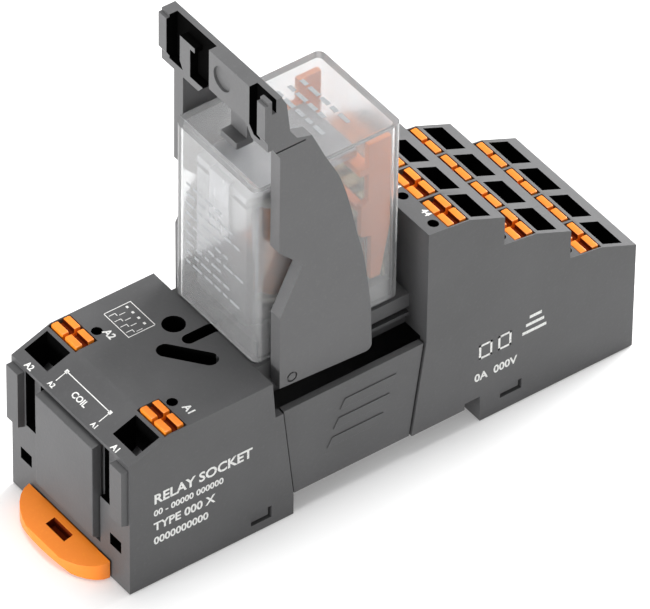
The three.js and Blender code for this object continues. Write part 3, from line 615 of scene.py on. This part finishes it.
class MakeFoot(bpy.types.Operator):
    """Orange rail foot with painted shade inside its driver slot"""

    bl_idname = "relay.make_foot"
    bl_label = "Rail foot"

    def execute(self, context):
        colours = context.scene.relay_colours
        orange = moulded_plastic("foot_plastic", colours.orange, 0.42, 0.01 * MM, coarse=1700.0, spread=0.06)
        # painted shade: dark orange for the faces inside the driver slot
        painted_light_material = painted_shade_plastic("foot_painted_shade_plastic", colours.orange_painted_shade)
        low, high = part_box("rail_foot")

        def slot(face):
            """Tells the faces inside the driver slot, which take the painted shade."""
            centre = face.calc_center_median()
            handle = low.x + 0.8 * MM < centre.x < low.x + 5.2 * MM and abs(centre.y) < 2.8 * MM
            return handle and low.z + 0.7 * MM < centre.z < high.z - 0.9 * MM

        edge = context.scene.relay_sizes.foot_edge
        rounded_copy("rail_foot", "foot_moulding", edge, orange, "foot",
                     shortest=0.4 * MM, segments=3, painted_shade_mask=slot, painted_light_material=painted_light_material)
        return {"FINISHED"}


class MakePushers(bpy.types.Operator):
    """Orange pushers of the fourteen terminals, with painted shade inside their slots"""

    bl_idname = "relay.make_pushers"
    bl_label = "Pushers"

    def execute(self, context):
        colours = context.scene.relay_colours
        edge = context.scene.relay_sizes.pusher_edge
        tint = shade(colours.orange, 1.06)
        orange = moulded_plastic("pusher_plastic", tint, 0.4, 0.006 * MM, coarse=2200.0, spread=0.06)
        # painted shade: dark orange for the faces inside the pusher slots
        painted_light_material = painted_shade_plastic("pusher_painted_shade_plastic", colours.orange_painted_shade)
        for terminal in TERMINALS:
            for side in ("left", "right"):
                node = f"pusher_{terminal}_{side}"
                low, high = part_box(node)
                slot = self.slot((low.x + high.x) / 2, high.z)
                rounded_copy(node, f"release_{terminal}_{side}", edge, orange, node,
                             shortest=0.4 * MM, painted_shade_mask=slot, painted_light_material=painted_light_material)
        return {"FINISHED"}

    def slot(self, middle, top):
        """Tells the faces inside the slot of one pusher, which take the painted shade."""

        def inside(face):
            centre = face.calc_center_median()
            return abs(centre.x - middle) < 0.5 * MM and top - 1.0 * MM < centre.z < top - 0.1 * MM

        return inside


class MakeClamps(bpy.types.Operator):
    """Clamp bars and clamp springs inside the fourteen wire entries"""

    bl_idname = "relay.make_clamps"
    bl_label = "Clamps"

    def execute(self, context):
        tinned = brushed_metal("clamp_metal", context.scene.relay_colours.iron, 0.34)
        for name in TERMINALS:
            spot = Terminal(name)
            bm = bmesh.new()
            for way in (1, -1):
                y = spot.y + way * spot.pitch / 2 * 0.86
                self.clamp(bm, spot, y)
            bmesh.ops.recalc_face_normals(bm, faces=bm.faces)
            round_edges(bm, 0.08 * MM, 0.3 * MM, 1)
            mesh = bpy.data.meshes.new(f"clamp_{name}")
            finish_mesh(bm, mesh)
            add_piece(f"clamp_{name}", mesh, tinned, "socket")
        return {"FINISHED"}

    def clamp(self, bm, spot, y):
        """A busbar wall, and a leaf that slants down against it."""
        wall_x = spot.entry_back - 0.15 * MM if not spot.coil else spot.entry_front + 0.15 * MM
        inward = -1 if not spot.coil else 1
        far_x = spot.entry_front if not spot.coil else spot.entry_back
        half = 1.25 * MM
        z0 = spot.top - 9.8 * MM
        x0, x1 = sorted((wall_x, wall_x + inward * 0.5 * MM))
        box_into(bm, (x0, y - half, z0), (x1, y + half, spot.top - 7.4 * MM))
        top = Vector((far_x + inward * -0.25 * MM, y, spot.top - 6.8 * MM))
        foot = Vector((wall_x + inward * 0.75 * MM, y, spot.top - 9.4 * MM))
        thickness = Vector((0.3 * MM, 0, 0))
        across = Vector((0, half, 0))
        corners = [top - across, top + across, foot + across, foot - across]
        ring = [bm.verts.new(c) for c in corners]
        back = [bm.verts.new(c + thickness) for c in corners]
        bm.faces.new(ring)
        bm.faces.new(back[::-1])
        for i in range(4):
            bm.faces.new((ring[i], back[i], back[(i + 1) % 4], ring[(i + 1) % 4]))


class MakeRelay(bpy.types.Operator):
    """Clear cover with a painted glow on its rounded edges, base, coil, iron parts, actuator and contacts of
    the relay
    """

    bl_idname = "relay.make_relay"
    bl_label = "Relay"

    def execute(self, context):
        sizes = context.scene.relay_sizes
        colours = context.scene.relay_colours
        clear = clear_plastic("clear_cover", colours.cover)
        # painted glow: the cover's rounded edges take a faintly emitting material
        rim_painted_glow = painted_glow_rim("cover_rim", colours.cover)
        rounded_copy("relay_cover", "cover_shell", sizes.cover_edge, clear, "relay",
                     shortest=0.15 * MM, segments=3, painted_light_material=rim_painted_glow, rim=1)
        base = glossy_plastic("base_plastic", colours.base, 0.3, 0.01 * MM)
        rounded_copy("relay_base", "base_moulding", 0.12 * MM, base, "relay",
                     shortest=0.6 * MM)
        nylon = glossy_plastic("bobbin_nylon", colours.nylon, 0.42, 0.01 * MM)
        rounded_copy("coil_bobbin", "bobbin_moulding", 0.12 * MM, nylon, "relay")
        salmon = moulded_plastic("actuator_plastic", colours.salmon, 0.42, 0.01 * MM, spread=0.06)
        rounded_copy("contact_actuator", "actuator_moulding", 0.2 * MM, salmon, "actuator")
        self.winding(sizes.wire_pitch, enamelled_wire("copper_wire", colours.copper))
        iron = brushed_metal("soft_iron", colours.iron, 0.34)
        for node in IRON:
            paint_node(node, iron)
        paint_node("return_spring", brushed_metal("spring_steel", shade(colours.iron, 1.12), 0.24))
        brass = brushed_metal("contact_brass", colours.brass, 0.28)
        for node in CONTACTS:
            paint_node(node, brass)
        return {"FINISHED"}

    def winding(self, pitch, copper):
        """Turns of wire laid side by side round the coil."""
        low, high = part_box("coil_winding")
        centre = (low + high) / 2
        outside = (high.x - low.x) / 2
        inside = 3.95 * MM
        rows = max(8, round((high.z - low.z) / pitch))
        step = (high.z - low.z) / rows
        profile = [(inside, low.z)]
        for row in range(rows):
            z = low.z + row * step
            profile += [
                (outside - step * 0.28, z),
                (outside - step * 0.06, z + step * 0.2),
                (outside, z + step * 0.5),
                (outside - step * 0.06, z + step * 0.8),
            ]
        profile += [(outside - step * 0.28, high.z), (inside, high.z)]
        bm = bmesh.new()
        spokes = 40
        rings = []
        for spoke in range(spokes):
            angle = 2 * math.pi * spoke / spokes
            rings.append([
                bm.verts.new((centre.x + r * math.cos(angle), centre.y + r * math.sin(angle), z))
                for r, z in profile
            ])
        for spoke in range(spokes):
            here, there = rings[spoke], rings[(spoke + 1) % spokes]
            for i in range(len(profile)):
                j = (i + 1) % len(profile)
                bm.faces.new((here[i], there[i], there[j], here[j]))
        bmesh.ops.recalc_face_normals(bm, faces=bm.faces)
        mesh = bpy.data.meshes.new("wire_turns")
        finish_mesh(bm, mesh)
        piece = add_piece("wire_turns", mesh, copper, "relay")
        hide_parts("coil_winding")


class MakePrints(bpy.types.Operator):
    """White prints: terminal marks, coil and wiring diagrams, and plain lines in place of wording"""

    bl_idname = "relay.make_prints"
    bl_label = "Prints"

    def execute(self, context):
        height = context.scene.relay_sizes.print_height
        ink = white_ink("white_ink", context.scene.relay_colours.ink)
        low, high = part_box("socket_housing")
        face = Terminal("a1")
        start = low.x + FLANGE_REACH
        top = Plane((start, 0.0, face.top), (0, -1, 0), (1, 0, 0))
        self.coil_top(top, ink, height)
        self.coil_slope(start, face.top, ink, height)
        near = Plane((start, low.y, 0.0), (1, 0, 0), (0, 0, 1))
        self.side_lines(near, ink, height)
        self.tier_marks(ink, height)
        self.cover_lines(white_ink("grey_ink", context.scene.relay_colours.grey_print), height)
        return {"FINISHED"}

    def cover_lines(self, ink, height):
        """Rows of faint dashes on the cover's front and top, in place of its rating print."""
        low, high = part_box("relay_cover")
        bm = bmesh.new()
        front = Plane((low.x, 0.0, low.z), (0, -1, 0), (0, 0, 1))
        for row in range(9):
            a = -7.6
            for dash in range(6 - row % 3):
                wide = 1.1 + 0.45 * ((row * 5 + dash * 3) % 4)
                b = 8.4 + row * 2.0
                front.bar(bm, a * MM, (a + wide) * MM, b * MM, (b + 0.55) * MM, height)
                a += wide + 0.7
        roof = Plane(((low.x + high.x) / 2, 0.0, high.z), (0, -1, 0), (1, 0, 0))
        for row, count in enumerate((5, 4, 5)):
            a = -6.5
            for dash in range(count):
                wide = 1.5 + 0.5 * ((row * 3 + dash * 2) % 3)
                b = 2.0 + row * 2.4
                roof.bar(bm, a * MM, (a + wide) * MM, b * MM, (b + 0.8) * MM, height)
                a += wide + 0.6
        print_piece("print_cover", bm, ink, "relay")

    def coil_top(self, top, ink, height):
        """Wiring diagram and coil terminal marks on top of the coil block."""
        bm = bmesh.new()
        line = 0.13 * MM
        a0, a1, b0, b1 = -12.7 * MM, -6.0 * MM, 15.4 * MM, 20.5 * MM
        for b in (b0, b1):
            top.bar(bm, a0, a1, b, b + line, height)
        for a in (a0, a1):
            top.bar(bm, a, a + line, b0, b1, height)
        for pole in range(4):
            a = a0 + (0.9 + 1.55 * pole) * MM
            top.bar(bm, a, a + line, b0 + 0.4 * MM, b0 + 1.5 * MM, height)
            top.bar(bm, a, a + 0.7 * MM, b0 + 1.5 * MM, b0 + 1.5 * MM + line, height)
            top.bar(bm, a + 0.7 * MM, a + 0.7 * MM + line, b0 + 1.9 * MM, b0 + 3.0 * MM, height)
            top.bar(bm, a - 0.3 * MM, a + 0.2 * MM, b1 - 1.3 * MM, b1 - 0.9 * MM, height)
        text_into(bm, top, "A2", -8.3 * MM, 13.4 * MM, 1.9 * MM, height)
        text_into(bm, top, "A1", 13.0 * MM, 13.4 * MM, 1.9 * MM, height)
        print_piece("print_coil_top", bm, ink, "socket")

    def coil_slope(self, start, top_z, ink, height):
        """Coil rectangle on the sloping front edge."""
        run, drop = 7.5 * MM, 2.75 * MM
        slope = Plane((start, 0.0, top_z - drop), (0, -1, 0), (run, 0, drop))
        bm = bmesh.new()
        line = 0.16 * MM
        a0, a1, b0, b1 = -6.4 * MM, 5.2 * MM, 0.4 * MM, 4.1 * MM
        slope.bar(bm, a0, a1, b1, b1 + line, height)
        for a, words in ((a0, "A2"), (a1, "A1")):
            slope.bar(bm, a, a + line, b0 + 1.5 * MM, b1, height)
            slope.bar(bm, a - 0.25 * MM, a + 0.4 * MM, b1 - 0.25 * MM, b1 + 0.4 * MM, height)
            text_into(bm, slope, words, a + 0.1 * MM, b0 + 0.55 * MM, 1.2 * MM, height)
        text_into(bm, slope, "COIL", -0.5 * MM, 2.3 * MM, 1.6 * MM, height)
        for a, words in ((-11.8 * MM, "A2"), (11.4 * MM, "A1")):
            text_into(bm, slope, words, a, 0.6 * MM, 1.5 * MM, height)
        print_piece("print_coil_slope", bm, ink, "socket")

    def side_lines(self, near, ink, height):
        """Generic markings on the near side."""
        bm = bmesh.new()
        rows = [("RELAY SOCKET", 17.6, 2.75), ("00 - 00000 000000", 14.7, 1.75),
                ("TYPE 000 X", 11.8, 2.35), ("0000000000", 8.8, 2.1)]
        for words, z, size in rows:
            text_into(bm, near, words, 4.6 * MM, z * MM, size * MM, height, start=True)
        text_into(bm, near, "0A  000V", 67.2 * MM, 9.6 * MM, 2.2 * MM, height, start=True)
        line = 0.4 * MM
        for a0, a1 in ((68.0, 70.6), (71.8, 74.4)):
            for b in (13.4 * MM, 16.0 * MM):
                near.bar(bm, a0 * MM, a1 * MM, b, b + line, height)
            for a in (a0 * MM, a1 * MM - line):
                near.bar(bm, a, a + line, 13.4 * MM, 16.4 * MM, height)
        for step in range(3):
            b = (14.0 + 1.5 * step) * MM
            near.bar(bm, (76.6 + 0.7 * step) * MM, (81.4 - 0.5 * step) * MM, b, b + 0.6 * MM, height)
        print_piece("print_near_side", bm, ink, "socket")

    def tier_marks(self, ink, height):
        """Terminal numbers beside the pushers of each tier."""
        for name in TERMINALS[2:]:
            spot = Terminal(name)
            bm = bmesh.new()
            fall = DECK_DROP / (FIRST_DECK if name.endswith("4") else LOWER_DECK)
            deck = Plane((spot.back, spot.y, spot.top + PUSHER_TO_KNEE * fall), (0, -1, 0), (1, 0, -fall))
            text_into(bm, deck, name, -0.9 * MM, -1.1 * MM, 1.7 * MM, height)
            print_piece(f"print_terminal_{name}", bm, ink, "socket")


class MakeStage(bpy.types.Operator):
    """Pale floor, soft light and the camera"""

    bl_idname = "relay.make_stage"
    bl_label = "Stage"

    def execute(self, context):
        stage = context.scene.relay_stage
        self.floor(stage)
        self.light(context, stage)
        self.camera(context, stage)
        return {"FINISHED"}

    def floor(self, stage):
        mesh = bpy.data.meshes.new("floor")
        half = 6.0
        corners = [(-half, -half, 0), (half, -half, 0), (half, half, 0), (-half, half, 0)]
        mesh.from_pydata(corners, [], [(0, 1, 2, 3)])
        mesh.materials.append(floor_paint("floor_paint", stage.floor))
        floor = bpy.data.objects.new("floor", mesh)
        floor.location.z = -0.0002
        bpy.context.scene.collection.objects.link(floor)

    def softbox(self, name, place, size, power):
        lamp = bpy.data.lights.new(name, "AREA")
        lamp.shape = "RECTANGLE"
        lamp.size = size[0]
        lamp.size_y = size[1]
        lamp.energy = power
        box = bpy.data.objects.new(name, lamp)
        box.location = place
        box.rotation_mode = "QUATERNION"
        box.rotation_quaternion = (Vector((0, 0, 0.03)) - Vector(place)).to_track_quat("-Z", "Y")
        bpy.context.scene.collection.objects.link(box)

    def light(self, context, stage):
        world = bpy.data.worlds.new("even_light")
        world.use_nodes = True
        background = world.node_tree.nodes["Background"]
        background.inputs["Color"].default_value = (1.0, 1.0, 1.0, 1.0)
        background.inputs["Strength"].default_value = stage.sky
        context.scene.world = world
        self.softbox("key_light", (0.06, 0.08, 0.9), (0.45, 0.45), stage.key)
        self.softbox("side_light", (-0.8, 0.0, 0.1), (0.4, 0.25), stage.side)
        self.softbox("deck_light", (0.75, 0.14, 0.4), (0.4, 0.3), stage.deck)

    def camera(self, context, stage):
        data = bpy.data.cameras.new("view")
        data.lens = stage.lens
        data.sensor_width = 36.0
        data.shift_x, data.shift_y = SHIFT
        data.clip_start = 0.05
        data.clip_end = 20.0
        back = Vector((
            math.sin(AZIMUTH) * math.cos(ELEVATION),
            -math.cos(AZIMUTH) * math.cos(ELEVATION),
            math.sin(ELEVATION),
        ))
        level = Vector((math.cos(AZIMUTH), math.sin(AZIMUTH), 0.0))
        upright = back.cross(level)
        right = level * math.cos(ROLL) + upright * math.sin(ROLL)
        up = upright * math.cos(ROLL) - level * math.sin(ROLL)
        camera = bpy.data.objects.new("view", data)
        place = Matrix((right, up, back)).transposed().to_4x4()
        place.translation = TARGET + back * stage.distance
        camera.matrix_world = place
        context.scene.collection.objects.link(camera)
        context.scene.camera = camera
        context.scene.view_settings.view_transform = "Standard"


class RelayPanel(bpy.types.Panel):
    """Lists the sizes, colours and steps"""

    bl_idname = "VIEW3D_PT_relay_looks"
    bl_label = "Plug in relay"
    bl_space_type = "VIEW_3D"
    bl_region_type = "UI"
    bl_category = "Relay"

    def draw(self, context):
        for group in (context.scene.relay_sizes, context.scene.relay_colours, context.scene.relay_stage):
            box = self.layout.box()
            for name in group.__annotations__:
                box.prop(group, name)
        for step in STEPS:
            self.layout.operator(step.bl_idname)


STEPS = (MakeSocket, MakeClip, MakeFoot, MakePushers, MakeClamps, MakeRelay, MakePrints, MakeStage)
GROUPS = {"relay_sizes": RelaySizes, "relay_colours": RelayColours, "relay_stage": RelayStage}


def register():
    for group in GROUPS.values():
        bpy.utils.register_class(group)
    for step in (*STEPS, RelayPanel):
        bpy.utils.register_class(step)
    for name, group in GROUPS.items():
        setattr(bpy.types.Scene, name, PointerProperty(type=group))


def unregister():
    for name in GROUPS:
        delattr(bpy.types.Scene, name)
    for made in (*STEPS, RelayPanel, *GROUPS.values()):
        bpy.utils.unregister_class(made)


def main():
    register()
    for step in STEPS:
        group, name = step.bl_idname.split(".")
        result = getattr(getattr(bpy.ops, group), name)()
        if result != {"FINISHED"}:
            raise RuntimeError(f"{step.bl_label} was not made")


if __name__ == "__main__":
    main()
